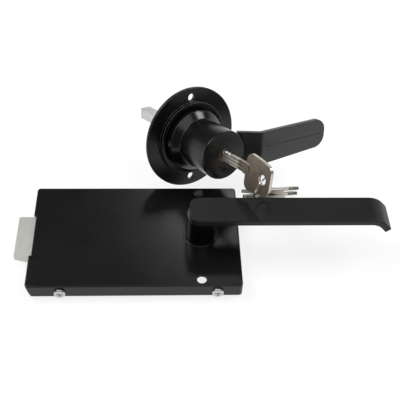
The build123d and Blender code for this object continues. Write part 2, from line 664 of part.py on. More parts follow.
def lock_cylinder():
    """The brass cylinder body in the barrel, bored for the plug."""
    top = BARREL_LENGTH - BARREL_FACE
    body = cylinder_between(CYLINDER_D, CYLINDER_FOOT, top)
    return body - cylinder_between(PLUG_D + 2 * SHAFT_CLEARANCE, 0, top + 1)


def cylinder_plug():
    """The plug with its keyway: a shoulder behind the barrel's face and a nose through it."""
    top = BARREL_LENGTH - PLUG_RECESS
    shoulder = BARREL_LENGTH - BARREL_FACE - SHAFT_CLEARANCE
    plug = cylinder_between(PLUG_D, CAM_Z[1], shoulder) + cylinder_between(PLUG_NOSE_D, CAM_Z[1], top)
    plug = chamfer(plug.edges().filter_by(GeomType.CIRCLE).sort_by(Axis.Z)[-1], 0.3)
    keyway_foot = BARREL_LENGTH - KEY_BLADE_LENGTH - 1
    keyway = Pos(0, 0, (keyway_foot + top + 1) / 2) * Box(
        KEY_THICK + 2 * KEY_FIT, KEY_BLADE + 2 * KEY_FIT, top + 1 - keyway_foot)
    return plug - Rot(0, 0, KEYWAY_TURN) * keyway


def plug_cam():
    """The disc on the plug's tail, with the eccentric pin that drives the lock slide."""
    cam = cylinder_between(CAM_D, *CAM_Z)
    start = radians(135)
    pin = Pos(CAM_THROW * cos(start), CAM_THROW * sin(start), 0)
    return cam + pin * cylinder_between(CAM_PIN_D, LOCK_SLIDE_Z[0], CAM_Z[0])


def lock_slide():
    """The flat slide that the cam pushes out of the tail, into a notch of the rose."""
    low, high = LOCK_SLIDE_Z
    head = LOCK_SLIDE_HEAD / 2
    half = LOCK_SLIDE_WIDTH / 2
    room = BARREL_BORE_D / 2 - LOCK_SLIDE_GAP
    neck = LOCK_NOTCH_DEPTH - sqrt(room ** 2 - head ** 2)
    points = [(-half, -LOCK_SLIDE_REST), (half, -LOCK_SLIDE_REST), (half, neck), (head, neck),
              (head, LOCK_SLIDE_BACK - 1.2), (head - 1.2, LOCK_SLIDE_BACK),
              (1.2 - head, LOCK_SLIDE_BACK), (-head, LOCK_SLIDE_BACK - 1.2), (-head, neck),
              (-half, neck)]
    slide = plate(points, low, high)
    mid_y = CAM_THROW * sin(radians(135))
    slot_half = CAM_PIN_D / 2 + 0.15
    slot = block((-CAM_THROW - slot_half - 0.1, mid_y - slot_half, low - 1),
                 (-CAM_THROW * cos(radians(45)) + slot_half + 0.2, mid_y + slot_half, high + 1))
    return slide - slot


# Keys

def key_shape():
    """A key on the Z axis: its collar's lower face is at Z = 0 and its head is above that."""
    thick, foot, end = KEY_THICK, KEY_HEAD_FOOT, KEY_HEAD_END
    wide, narrow = KEY_SHOULDER_WIDTH / 2, KEY_END_WIDTH / 2
    middle = ((wide + narrow) / 2 + KEY_SIDE_BOW, (foot + end) / 2)
    near_side = ThreePointArc((wide, foot), middle, (narrow, end))
    far_side = ThreePointArc((-narrow, end), (-middle[0], middle[1]), (-wide, foot))
    outline = make_face([near_side, Line((narrow, end), (-narrow, end)), far_side,
                         Line((-wide, foot), (wide, foot))])
    head = extrude(Plane.YZ * outline, thick / 2, both=True)
    head = fillet(head.edges().filter_by(Axis.X), KEY_CORNER_R)
    head = Pos(0, KEY_HEAD_SHIFT, 0) * head
    collar = Pos(0, 0, KEY_COLLAR_LENGTH / 2) * Box(KEY_COLLAR_THICK, KEY_COLLAR, KEY_COLLAR_LENGTH)
    collar = fillet(collar.edges().filter_by(Axis.X), 2.0)
    blade_half, tip = KEY_BLADE / 2, 3.0
    blade = [(-blade_half, 2.5), (-blade_half, tip - KEY_BLADE_LENGTH), (-1, -KEY_BLADE_LENGTH),
             (1, -KEY_BLADE_LENGTH), (blade_half, tip - KEY_BLADE_LENGTH), (blade_half, 2.5)]
    shank = extrude(Plane.YZ * make_face(Polyline(*blade, close=True)), thick / 2, both=True)
    for cut, depth in enumerate(KEY_CUT_DEPTHS):
        z = -KEY_CUT_FIRST - cut * KEY_CUT_PITCH
        for side in (-1, 1):
            tooth = [(side * (blade_half + 0.1), z + 1.5), (side * (blade_half - depth), z + 0.5),
                     (side * (blade_half - depth), z - 0.5), (side * (blade_half + 0.1), z - 1.5)]
            shank -= extrude(Plane.YZ * make_face(Polyline(*tooth, close=True)), thick, both=True)
    for side in (-1, 1):
        for y in (side * 0.9, side * -1.6):
            shank -= Pos(side * thick / 2, y, -KEY_BLADE_LENGTH / 2) * Box(0.9, 0.8, KEY_BLADE_LENGTH + 2)
    hole = Pos(0, KEY_HOLE_OFFSET, end - KEY_HOLE_FROM_END) * Rot(0, 90, 0) * Cylinder(KEY_HOLE_D / 2, 9)
    return head + collar + shank - hole


KEY_PLACE = UNIT * Pos(0, 0, BARREL_LENGTH + KEY_OUT) * Rot(0, 0, KEYWAY_TURN)
RING_HOLE = (KEY_PLACE * Pos(0, KEY_HOLE_OFFSET, KEY_HEAD_END - KEY_HOLE_FROM_END)).position
HOLE_AXIS = (KEY_PLACE * Pos(1, 0, 0)).position - (KEY_PLACE * Pos(0, 0, 0)).position


def key_in_lock():
    """The key in the lock, drawn part of the way out."""
    return KEY_PLACE * key_shape()


def key_ring():
    """The wire ring through the key's hole, hanging down behind the inside lever."""
    hang = Vector(*RING_HANG).normalized()
    level = Vector(*RING_ACROSS)
    across = (level - hang * level.dot(hang)).normalized()
    into_rim = (hang - HOLE_AXIS * hang.dot(HOLE_AXIS)).normalized()
    seat = KEY_HOLE_D / 2 - RING_WIRE_D / 2 - RING_SLACK
    centre = RING_HOLE + into_rim * seat + hang * (RING_MEAN_D / 2)
    ring_plane = Plane(origin=centre, x_dir=across, z_dir=across.cross(hang))
    return ring_plane * Torus(RING_MEAN_D / 2, RING_WIRE_D / 2)


def spare_key(number):
    """One of two loose keys; the first leans on the inside lever and the second lies on it."""
    slope, first, own = radians(SPARE_SLOPE), radians(SPARE_TURNS[0]), radians(SPARE_TURNS[number])
    uphill = Vector(0, -cos(slope), sin(slope))
    normal = Vector(0, sin(slope), cos(slope))
    along = Vector(-sin(first), 0, 0) + uphill * cos(first)
    side_lean = atan2((KEY_SHOULDER_WIDTH - KEY_END_WIDTH) / 2 + 4 * KEY_SIDE_BOW, KEY_HEAD_END - KEY_HEAD_FOOT)
    corner = KEY_END_WIDTH / 2 - KEY_HEAD_SHIFT - KEY_CORNER_R * tan((pi / 2 - side_lean) / 2)
    past_end = corner * sin(first) + KEY_CORNER_R * (1 - cos(first))
    end_y = LEVER_WIDTH / 2 + SPARE_CLEAR + KEY_THICK / 2 * sin(slope) + past_end * cos(slope)
    tip_z = SPARE_CLEAR + KEY_THICK / 2 * cos(slope) + sin(first) * sin(slope)
    end_z = tip_z + (KEY_BLADE_LENGTH + KEY_HEAD_END) * along.Z
    collar = Vector(SPARE_X, end_y, end_z) - along * KEY_HEAD_END
    collar += normal * (number * (KEY_COLLAR_THICK + SPARE_CLEAR))
    own_along = Vector(-sin(own), 0, 0) + uphill * cos(own)
    return Plane(origin=collar, x_dir=normal, z_dir=own_along) * key_shape()


parts["case_cover"] = case_cover()
parts["chassis_plate"] = chassis_plate()
parts["cover_screws"] = cover_screws()
parts["front_bush"] = front_bush()
parts["back_bush"] = back_bush()
parts["spring_bracket"] = spring_bracket()
parts["bracket_rivets"] = bracket_rivets()
parts["follower"] = follower()
parts["follower_grub_screw"] = follower_grub_screw()
parts["lever_hub"] = lever_hub()
parts["inner_lever"] = inner_lever()
parts["latch_bolt"] = latch_bolt()
parts["latch_slide"] = latch_slide()
parts["latch_rivets"] = latch_rivets()
parts["spring_rods"] = spring_rods()
parts["latch_springs"] = latch_springs()
for piece in (rose_plate, rose_washer, back_washer, retaining_ring, outer_barrel, outer_lever,
              barrel_grub_screw, spindle_carrier, spindle, spindle_pin, lock_cylinder,
              cylinder_plug, plug_cam, lock_slide):
    parts[piece.__name__] = UNIT * piece()
parts["key"] = key_in_lock()
parts["key_ring"] = key_ring()
parts["spare_key_lower"] = spare_key(0)
parts["spare_key_upper"] = spare_key(1)

os.makedirs("parts", exist_ok=True)
for name, shape in parts.items():
    export_step(shape, f"parts/{name}.step")
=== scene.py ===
# %% [markdown]
# # A surface fire door lock
# The object is a flat black case with a pale slide latch and an inside lever, and behind it the
# outside lever unit that belongs to it, taken off the door, with a key in its cylinder. Its shape
# is already in the imported model, so this lesson gives every piece its finish, adds the fine
# pieces that repeat, and lights the whole like a catalogue picture on white.
#
# The frame is loaded first, and its pieces keep their places, so that their boxes can be read.

# %% Load the frame
import bpy
from math import cos, pi, radians, sin
from mathutils import Matrix, Vector


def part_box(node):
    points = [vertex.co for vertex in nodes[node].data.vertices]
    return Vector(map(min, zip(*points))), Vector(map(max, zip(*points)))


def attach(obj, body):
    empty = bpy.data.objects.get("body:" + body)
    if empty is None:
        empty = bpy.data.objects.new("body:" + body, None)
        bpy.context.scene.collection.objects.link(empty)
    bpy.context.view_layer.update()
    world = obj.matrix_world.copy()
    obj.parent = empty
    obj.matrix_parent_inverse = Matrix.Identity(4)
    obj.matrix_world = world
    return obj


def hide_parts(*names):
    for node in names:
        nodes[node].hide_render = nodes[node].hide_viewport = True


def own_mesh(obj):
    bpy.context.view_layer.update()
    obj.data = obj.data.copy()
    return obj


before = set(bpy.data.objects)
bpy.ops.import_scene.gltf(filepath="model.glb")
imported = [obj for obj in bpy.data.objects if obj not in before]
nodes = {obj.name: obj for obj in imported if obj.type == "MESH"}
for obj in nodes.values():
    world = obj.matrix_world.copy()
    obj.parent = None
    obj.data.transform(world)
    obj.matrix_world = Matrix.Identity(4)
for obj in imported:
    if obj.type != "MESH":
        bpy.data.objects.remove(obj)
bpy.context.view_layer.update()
MM = 0.001

# %% [markdown]
# ## The camera
# The picture looks down at the lock from the front with a short telephoto lens. Its place was
# found from the case's corners, the two lever bars and the round rose, so a camera with the same
# place, turn and lens lines every edge up. Yaw turns it about the vertical, pitch tips it down
# and roll leans it over a little.

# %% Camera
CAMERA_AT = Vector((-26.1, -370.6, 446.9)) * MM
LENS_MM, SENSOR_MM = 73.3, 36.0
YAW, PITCH, ROLL = radians(3.85), radians(47.1), radians(2.73)
ahead = Vector((sin(YAW) * cos(PITCH), cos(YAW) * cos(PITCH), -sin(PITCH)))
level_right = Vector((cos(YAW), -sin(YAW), 0))
level_up = level_right.cross(ahead)
camera_right = level_right * cos(ROLL) + level_up * sin(ROLL)
camera_up = level_up * cos(ROLL) - level_right * sin(ROLL)
camera_data = bpy.data.cameras.new("picture_camera")
camera_data.lens = LENS_MM
camera_data.sensor_width = SENSOR_MM
camera_data.clip_start = 0.01
camera = bpy.data.objects.new("picture_camera", camera_data)
turned = Matrix((camera_right, camera_up, -ahead)).transposed()
camera.matrix_world = Matrix.Translation(CAMERA_AT) @ turned.to_4x4()
bpy.context.scene.collection.objects.link(camera)
bpy.context.scene.camera = camera
print("camera is", round(CAMERA_AT.length, 3), "m from the hub")

# %% [markdown]
# ## Small helpers for shader trees
# A shader tree is a list of nodes and links. Four short helpers keep the cells below readable.
# One adds a node and sets its sockets by name. One opens a node group with named inputs and
# outputs, so that an effect is built once and used in many finishes. The last two make a smooth
# mask and do sums with sockets.

# %% Helpers for trees
def add(tree, kind, values=None, **settings):
    """A node of this kind, with its settings and its unlinked inputs set."""
    node = tree.nodes.new(kind)
    for name, value in settings.items():
        setattr(node, name, value)
    for name, value in (values or {}).items():
        node.inputs[name].default_value = value
    return node


def open_group(name, inputs, outputs):
    """A new shader group: {socket: default} in, {socket: type} out."""
    group = bpy.data.node_groups.new(name, "ShaderNodeTree")
    for label, default in inputs.items():
        kind = "NodeSocketColor" if isinstance(default, tuple) else "NodeSocketFloat"
        socket = group.interface.new_socket(label, in_out="INPUT", socket_type=kind)
        socket.default_value = default
    for label, kind in outputs.items():
        group.interface.new_socket(label, in_out="OUTPUT", socket_type=kind)
    return group, group.nodes.new("NodeGroupInput"), group.nodes.new("NodeGroupOutput")


def ramp(tree, low, high, source):
    """A smooth mask: 0 where source is below low, 1 where it is above high."""
    node = add(tree, "ShaderNodeMapRange", {"From Min": low, "From Max": high},
               interpolation_type="SMOOTHSTEP")
    tree.links.new(source, node.inputs["Value"])
    return node.outputs["Result"]


def times(tree, a, b, operation="MULTIPLY"):
    """Two values multiplied, or joined by another operation; each is a socket or a number."""
    node = add(tree, "ShaderNodeMath", operation=operation)
    for index, value in enumerate((a, b)):
        if isinstance(value, (int, float)):
            node.inputs[index].default_value = value
        else:
            tree.links.new(value, node.inputs[index])
    return node.outputs[0]


print("helpers ready")

# %% [markdown]
# ## Coat texture
# Powder coat melts into a skin with shallow round bumps, called orange peel, and a much finer
# tooth on top. Two noises of different scale make its height. The same group gives a slow
# mottle, because a coated sheet is never evenly matt. It reads Object coordinates, in metres, so
# the bumps keep their real size on every piece.

# %% Group: coat texture
coat_group, coat_in, coat_out = open_group(
    "coat_texture", {"Peel per metre": 900.0, "Tooth per metre": 5200.0, "Tooth share": 0.35},
    {"Height": "NodeSocketFloat", "Mottle": "NodeSocketFloat"})
place = add(coat_group, "ShaderNodeTexCoord")
peel = add(coat_group, "ShaderNodeTexNoise", {"Detail": 1.0, "Roughness": 0.4})
tooth = add(coat_group, "ShaderNodeTexNoise", {"Detail": 2.0, "Roughness": 0.6})
slow = add(coat_group, "ShaderNodeTexNoise", {"Scale": 55.0, "Detail": 3.0, "Roughness": 0.55})
for noise, socket in ((peel, "Peel per metre"), (tooth, "Tooth per metre")):
    coat_group.links.new(place.outputs["Object"], noise.inputs["Vector"])
    coat_group.links.new(coat_in.outputs[socket], noise.inputs["Scale"])
coat_group.links.new(place.outputs["Object"], slow.inputs["Vector"])
tooth_height = times(coat_group, tooth.outputs["Fac"], coat_in.outputs["Tooth share"])
skin_height = times(coat_group, peel.outputs["Fac"], tooth_height, "ADD")
coat_group.links.new(skin_height, coat_out.inputs["Height"])
coat_group.links.new(ramp(coat_group, 0.35, 0.68, slow.outputs["Fac"]), coat_out.inputs["Mottle"])
print("coat texture has", len(coat_group.nodes), "nodes")

# %% [markdown]
# ## Worn, highlighted and rounded edges
# No real edge is perfectly sharp. The Bevel node rounds the shading normal near an edge, and
# where that normal differs from the plain one there is an edge. That difference, broken up by a
# noise, is a mask for a paler colour on the coats, partly rubbed coat and partly a painted
# highlight. The rounded normal itself catches the thin bright line that shows on the lever, the
# barrel's rim and the folded sheet.

# %% Group: rounded edges
edge_group, edge_in, edge_out = open_group(
    "rounded_edges", {"Radius": 0.0005, "Patchiness": 0.5},
    {"Normal": "NodeSocketVector", "Edge": "NodeSocketFloat"})
rounding = add(edge_group, "ShaderNodeBevel", samples=6)
edge_group.links.new(edge_in.outputs["Radius"], rounding.inputs["Radius"])
surface = add(edge_group, "ShaderNodeNewGeometry")
facing = add(edge_group, "ShaderNodeVectorMath", operation="DOT_PRODUCT")
edge_group.links.new(rounding.outputs["Normal"], facing.inputs[0])
edge_group.links.new(surface.outputs["Normal"], facing.inputs[1])
difference = times(edge_group, 1.0, facing.outputs["Value"], "SUBTRACT")
rub_place = add(edge_group, "ShaderNodeTexCoord")
rub = add(edge_group, "ShaderNodeTexNoise", {"Scale": 420.0, "Detail": 4.0, "Roughness": 0.6})
edge_group.links.new(rub_place.outputs["Object"], rub.inputs["Vector"])
# The noise breaks the edge line into patches; the pale colour it places is partly rubbed coat and
# partly painted highlight.
patchy_rub_and_highlight = ramp(edge_group, 0.42, 0.62, rub.outputs["Fac"])
patch = times(edge_group, patchy_rub_and_highlight, edge_in.outputs["Patchiness"])
whole = times(edge_group, 1.0, edge_in.outputs["Patchiness"], "SUBTRACT")
strength = times(edge_group, patch, whole, "ADD")
# This edge mask paints a paler colour along every edge in the coats: partly rubbed coat, partly
# painted highlight.
near_edge = ramp(edge_group, 0.02, 0.2, difference)
edge_group.links.new(times(edge_group, near_edge, strength), edge_out.inputs["Edge"])
edge_group.links.new(rounding.outputs["Normal"], edge_out.inputs["Normal"])
print("rounded edges has", len(edge_group.nodes), "nodes")

# %% [markdown]
# ## Tool lines
# Ground, drawn and turned metal carries fine parallel scratches. A noise squeezed along one
# direction makes them: few changes along the lines, thousands across. The stretch is an input,
# so one group serves the ground latch, the rolled sheet and the stamped keys.

# %% Group: tool lines
line_group, line_in, line_out = open_group(
    "tool_lines", {"Lines along X": 40.0, "Lines along Y": 3500.0, "Lines along Z": 3500.0},
    {"Height": "NodeSocketFloat", "Tone": "NodeSocketFloat"})
line_place = add(line_group, "ShaderNodeTexCoord")
squeeze = add(line_group, "ShaderNodeCombineXYZ")
for axis in "XYZ":
    line_group.links.new(line_in.outputs["Lines along " + axis], squeeze.inputs[axis])
stretched = add(line_group, "ShaderNodeVectorMath", operation="MULTIPLY")
line_group.links.new(line_place.outputs["Object"], stretched.inputs[0])
line_group.links.new(squeeze.outputs["Vector"], stretched.inputs[1])
fine = add(line_group, "ShaderNodeTexNoise", {"Scale": 1.0, "Detail": 3.0, "Roughness": 0.65})
line_group.links.new(stretched.outputs["Vector"], fine.inputs["Vector"])
cloud = add(line_group, "ShaderNodeTexNoise", {"Scale": 110.0, "Detail": 4.0, "Roughness": 0.6})
line_group.links.new(line_place.outputs["Object"], cloud.inputs["Vector"])
LINE_SHARE = 0.55
line_part = times(line_group, fine.outputs["Fac"], LINE_SHARE)
cloud_part = times(line_group, cloud.outputs["Fac"], 1 - LINE_SHARE)
both = times(line_group, line_part, cloud_part, "ADD")
line_group.links.new(fine.outputs["Fac"], line_out.inputs["Height"])
line_group.links.new(ramp(line_group, 0.32, 0.68, both), line_out.inputs["Tone"])
print("tool lines has", len(line_group.nodes), "nodes")

# %% [markdown]
# ## Small helpers for materials
# Every finish starts the same way: a new material, a group or two placed in it, and a colour or
# a number that runs between two values by a mask. These four helpers do that.

# %% Helpers for materials
def use(tree, group, values):
    """A group placed in a material with its own values."""
    node = tree.nodes.new("ShaderNodeGroup")
    node.node_tree = group
    for name, value in values.items():
        node.inputs[name].default_value = value
    return node


def open_material(name):
    """A new material with a Principled shader, its tree and the shader node."""
    material = bpy.data.materials.new(name)
    material.use_nodes = True
    tree = material.node_tree
    return material, tree, tree.nodes["Principled BSDF"]


def two_tone(tree, dark, light, mask):
    """A colour between two, by a mask."""
    mix = add(tree, "ShaderNodeMix", data_type="RGBA")
    mix.inputs["A"].default_value = (*dark, 1)
    mix.inputs["B"].default_value = (*light, 1)
    tree.links.new(mask, mix.inputs["Factor"])
    return mix.outputs["Result"]


def between(tree, low, high, mask):
    """A number between two, by a mask."""
    node = add(tree, "ShaderNodeMapRange", {"To Min": low, "To Max": high})
    tree.links.new(mask, node.inputs["Value"])
    return node.outputs["Result"]


print("material helpers ready")

# %% [markdown]
# ## Coated finishes
# The case, the levers and the barrel are all coated black, but not alike: the sheet case has the
# most texture, the levers are smoother and the flat paddle is a little lighter and bluer. One
# function builds a coated finish from the groups. The numbers that stay the same all over, such
# as the specular level, are set on the shader itself.

# %% Function: a coated finish
COAT_DEPTH = 0.06 * MM


def coated(name, dark, light, gloss, bump, rub_and_highlight_colour, rub_and_highlight_share, edge_radius=0.6 * MM,
           peel_scale=900.0, shine=0.4):
    """Black coat: two tones by a slow mottle, orange peel, and paler edges, partly worn coat and
    partly painted highlight.
    """
    material, tree, shader = open_material(name)
    coat = use(tree, coat_group, {"Peel per metre": peel_scale})
    edges = use(tree, edge_group, {"Radius": edge_radius, "Patchiness": 0.6})
    body = two_tone(tree, dark, light, coat.outputs["Mottle"])
    # Paler edges: the rub colour is partly worn coat and partly a painted highlight along every edge.
    rubbed_and_highlit = add(tree, "ShaderNodeMix", data_type="RGBA")
    rubbed_and_highlit.inputs["B"].default_value = (*rub_and_highlight_colour, 1)
    tree.links.new(body, rubbed_and_highlit.inputs["A"])
    tree.links.new(times(tree, edges.outputs["Edge"], rub_and_highlight_share), rubbed_and_highlit.inputs["Factor"])
    tree.links.new(rubbed_and_highlit.outputs["Result"], shader.inputs["Base Color"])
    roughness = between(tree, gloss[0], gloss[1], coat.outputs["Mottle"])
    tree.links.new(roughness, shader.inputs["Roughness"])
    texture = add(tree, "ShaderNodeBump", {"Strength": bump, "Distance": COAT_DEPTH})
    tree.links.new(coat.outputs["Height"], texture.inputs["Height"])
    tree.links.new(edges.outputs["Normal"], texture.inputs["Normal"])
    tree.links.new(texture.outputs["Normal"], shader.inputs["Normal"])
    shader.inputs["Specular IOR Level"].default_value = shine
    return material


print("a coated finish takes two tones, a gloss, a bump and a rub")

# %% [markdown]
# ### The six coats
# The case is the darkest and the most even in gloss, and its folds carry a wide pale line, partly
# rubbed coat and partly painted highlight.
# Of the pieces that show, the inside lever is the most matt, and the turned barrel and the
# lever's hub are the shiniest. The back plate hardly shows, so it is duller and a little paler.

# %% The six coats
# Each rub colour and share paints both worn coat and a highlight along the edges.
case_black = coated(
    "case_black", dark=(0.0038, 0.0038, 0.0038), light=(0.0045, 0.0045, 0.0044), gloss=(0.24, 0.27),
    bump=0.34, rub_and_highlight_colour=(0.12, 0.118, 0.115), rub_and_highlight_share=0.7, edge_radius=1.0 * MM)
lever_black = coated(
    "lever_black", dark=(0.0050, 0.0050, 0.0053), light=(0.0060, 0.0060, 0.0064), gloss=(0.42, 0.46),
    bump=0.12, rub_and_highlight_colour=(0.12, 0.12, 0.12), rub_and_highlight_share=0.7, edge_radius=0.9 * MM, shine=0.34)
paddle_black = coated(
    "paddle_black", dark=(0.008, 0.009, 0.012), light=(0.010, 0.011, 0.015), gloss=(0.28, 0.32),
    bump=0.12, rub_and_highlight_colour=(0.15, 0.15, 0.165), rub_and_highlight_share=0.4, edge_radius=0.5 * MM, shine=0.72)
barrel_black = coated(
    "barrel_black", dark=(0.0040, 0.0040, 0.0043), light=(0.0060, 0.0060, 0.0064), gloss=(0.17, 0.23),
    bump=0.1, rub_and_highlight_colour=(0.27, 0.27, 0.28), rub_and_highlight_share=0.9, edge_radius=0.8 * MM, peel_scale=700.0)
rose_black = coated(
    "rose_black", dark=(0.0045, 0.0045, 0.0047), light=(0.0065, 0.0065, 0.0068), gloss=(0.24, 0.30),
    bump=0.16, rub_and_highlight_colour=(0.24, 0.24, 0.24), rub_and_highlight_share=0.9, edge_radius=0.9 * MM)
chassis_black = coated(
    "chassis_black", dark=(0.007, 0.007, 0.007), light=(0.010, 0.010, 0.010), gloss=(0.42, 0.52),
    bump=0.4, rub_and_highlight_colour=(0.06, 0.06, 0.06), rub_and_highlight_share=0.4)
coats = (case_black, lever_black, paddle_black, barrel_black, rose_black, chassis_black)
print("coated finishes:", [coat.name for coat in coats])

# %% [markdown]
# ## Bare metals
# The latch is pale ground steel, the screws and the spindle are bright zinc, the keys are nickel
# over brass, worn through to a warm tone, and the cylinder is brass. All are metals with tool
# lines in their height and in their roughness, and a cloudy tone that comes from handling.

# %% Function: a bare metal
LINE_DEPTH = 0.04 * MM
LINE_INPUTS = ("Lines along X", "Lines along Y", "Lines along Z")


def bare_metal(name, dark, light, gloss, lines, bump, metallic=1.0, edge_radius=0.3 * MM):
    """Metal with tool lines, a cloudy tone and softened edges."""
    material, tree, shader = open_material(name)
    tool = use(tree, line_group, dict(zip(LINE_INPUTS, lines)))
    edges = use(tree, edge_group, {"Radius": edge_radius, "Patchiness": 0.3})
    body = two_tone(tree, dark, light, tool.outputs["Tone"])
    tree.links.new(body, shader.inputs["Base Color"])
    roughness = between(tree, gloss[1], gloss[0], tool.outputs["Tone"])
    tree.links.new(roughness, shader.inputs["Roughness"])
    texture = add(tree, "ShaderNodeBump", {"Strength": bump, "Distance": LINE_DEPTH})
    tree.links.new(tool.outputs["Height"], texture.inputs["Height"])
    tree.links.new(edges.outputs["Normal"], texture.inputs["Normal"])
    tree.links.new(texture.outputs["Normal"], shader.inputs["Normal"])
    shader.inputs["Metallic"].default_value = metallic
    return material


print("a bare metal takes two tones, a gloss and its tool lines")

# %% [markdown]
# ### The eight metals
# The three numbers of the lines say roughly how many there are to a metre along each axis. A
# low one is the way the tool went: along Y on the ground latch, along X on the rolled sheet and
# along Z on the stamped keys. Three equal ones give the even grain of a plated or turned piece.

# %% The eight metals
pale_latch = bare_metal(
    "pale_latch", dark=(0.55, 0.55, 0.51), light=(0.68, 0.68, 0.635), gloss=(0.38, 0.5),
    lines=(2600.0, 60.0, 2600.0), bump=0.3, metallic=0.75)
bright_zinc = bare_metal(
    "bright_zinc", dark=(0.46, 0.47, 0.48), light=(0.64, 0.65, 0.66), gloss=(0.22, 0.36),
    lines=(900.0, 900.0, 900.0), bump=0.25)
zinc_sheet = bare_metal(
    "zinc_sheet", dark=(0.40, 0.41, 0.43), light=(0.56, 0.57, 0.58), gloss=(0.32, 0.46),
    lines=(50.0, 2400.0, 2400.0), bump=0.3)
spring_wire = bare_metal(
    "spring_wire", dark=(0.34, 0.34, 0.35), light=(0.50, 0.50, 0.50), gloss=(0.25, 0.38),
    lines=(1500.0, 1500.0, 1500.0), bump=0.2)
plug_bronze = bare_metal(
    "plug_bronze", dark=(0.14, 0.105, 0.07), light=(0.28, 0.215, 0.14), gloss=(0.28, 0.42),
    lines=(1400.0, 1400.0, 1400.0), bump=0.25)
turned_brass = bare_metal(
    "turned_brass", dark=(0.46, 0.31, 0.11), light=(0.66, 0.47, 0.20), gloss=(0.24, 0.38),
    lines=(1400.0, 1400.0, 1400.0), bump=0.25)
key_nickel = bare_metal(
    "key_nickel", dark=(0.36, 0.325, 0.28), light=(0.56, 0.52, 0.46), gloss=(0.24, 0.38),
    lines=(1800.0, 1800.0, 70.0), bump=0.3, metallic=0.9, edge_radius=0.4 * MM)
ring_wire = bare_metal(
    "ring_wire", dark=(0.46, 0.45, 0.43), light=(0.64, 0.63, 0.61), gloss=(0.18, 0.30),
    lines=(1500.0, 1500.0, 1500.0), bump=0.15)
metals = (pale_latch, bright_zinc, zinc_sheet, spring_wire, plug_bronze, turned_brass, key_nickel,
          ring_wire)
print("metals:", [metal.name for metal in metals])

# %% [markdown]
# ### The key in the lock
# A key that is used every day isn't one even metal, and the tones of this one carry painted light
# as well. Its flat head is brown, partly from fingers and partly painted shade for the dark that
# its flat faces mirror. The stamped edges and the blade are pale, partly rubbed by pockets and
# polished by the pins, and partly painted highlight. Two masks place the three tones. One reads
# Object coordinates and says how far out along the key's direction a point lies, so that it is 0
# on the blade and 1 on the head. The other says how squarely the surface there faces the way the
# flat of the key does.

# %% Key: masks and tones, with painted shade and highlight
KEY_AXIS = (0.5413, -0.7846, 0.3024)
KEY_FLAT = (-0.83, -0.46, 0.31)
key_wear_and_painted_reflection, key_tree, key_shader = open_material("key_wear_and_painted_reflection")
key_tool = use(key_tree, line_group, dict(zip(LINE_INPUTS, (1800.0, 1800.0, 90.0))))
key_place = add(key_tree, "ShaderNodeTexCoord")
along = add(key_tree, "ShaderNodeVectorMath", operation="DOT_PRODUCT")
along.inputs[1].default_value = KEY_AXIS
key_tree.links.new(key_place.outputs["Object"], along.inputs[0])
square_on = add(key_tree, "ShaderNodeVectorMath", operation="DOT_PRODUCT")
square_on.inputs[1].default_value = KEY_FLAT
key_tree.links.new(key_place.outputs["Normal"], square_on.inputs[0])
flatness = add(key_tree, "ShaderNodeMath", operation="ABSOLUTE")
key_tree.links.new(square_on.outputs["Value"], flatness.inputs[0])
HEAD_STARTS, HEAD_FULL = 7.9 * MM, 11.4 * MM
on_head = ramp(key_tree, HEAD_STARTS, HEAD_FULL, along.outputs["Value"])
# The head's flat faces are picked by the way they face, so that they take the painted shade.
flat_faces_for_painted_shade = ramp(key_tree, 0.80, 0.95, flatness.outputs[0])
# Painted shade: a dark brown on the head's flat faces, partly worn brass and partly the dark they
# mirror.
brown_and_painted_shade = two_tone(key_tree, (0.155, 0.125, 0.095), (0.24, 0.205, 0.165), key_tool.outputs["Tone"])
# Painted highlight: a pale tone on the edges and the blade, partly polish and partly bright
# reflection.
pale_and_painted_highlight = two_tone(key_tree, (0.62, 0.56, 0.48), (0.82, 0.77, 0.70), key_tool.outputs["Tone"])
key_mix = add(key_tree, "ShaderNodeMix", data_type="RGBA")
key_tree.links.new(times(key_tree, on_head, flat_faces_for_painted_shade), key_mix.inputs["Factor"])
key_tree.links.new(pale_and_painted_highlight, key_mix.inputs["A"])
key_tree.links.new(brown_and_painted_shade, key_mix.inputs["B"])
key_tree.links.new(key_mix.outputs["Result"], key_shader.inputs["Base Color"])
key_gloss = between(key_tree, 0.38, 0.26, key_tool.outputs["Tone"])
key_tree.links.new(key_gloss, key_shader.inputs["Roughness"])
key_tree.links.new(between(key_tree, 0.35, 0.9, on_head), key_shader.inputs["Metallic"])
print("worn key turns brown between", HEAD_STARTS, "and", HEAD_FULL, "m along its axis")

# %% [markdown]
# The blade has milled grooves on its two sides. They are a sine wave across the blade, as a bump
# in the finish, and the mask of the head keeps them off the head. The tool lines come on top.

# %% Key: grooves and tool lines
GROOVE_PITCH, GROOVE_DEPTH = 2.4 * MM, 0.22 * MM
key_edges = use(key_tree, edge_group, {"Radius": 0.4 * MM, "Patchiness": 0.3})
across = add(key_tree, "ShaderNodeVectorMath", operation="DOT_PRODUCT")
across.inputs[1].default_value = Vector(KEY_AXIS).cross(Vector(KEY_FLAT)).normalized()
key_tree.links.new(key_place.outputs["Object"], across.inputs[0])
groove = add(key_tree, "ShaderNodeMath", operation="SINE")
key_tree.links.new(times(key_tree, across.outputs["Value"], 2 * pi / GROOVE_PITCH), groove.inputs[0])
on_blade = times(key_tree, 1.0, on_head, "SUBTRACT")
milled = add(key_tree, "ShaderNodeBump", {"Strength": 0.9, "Distance": GROOVE_DEPTH})
key_tree.links.new(times(key_tree, groove.outputs[0], on_blade), milled.inputs["Height"])
key_tree.links.new(key_edges.outputs["Normal"], milled.inputs["Normal"])
key_bump = add(key_tree, "ShaderNodeBump", {"Strength": 0.3, "Distance": LINE_DEPTH})
key_tree.links.new(key_tool.outputs["Height"], key_bump.inputs["Height"])
key_tree.links.new(milled.outputs["Normal"], key_bump.inputs["Normal"])
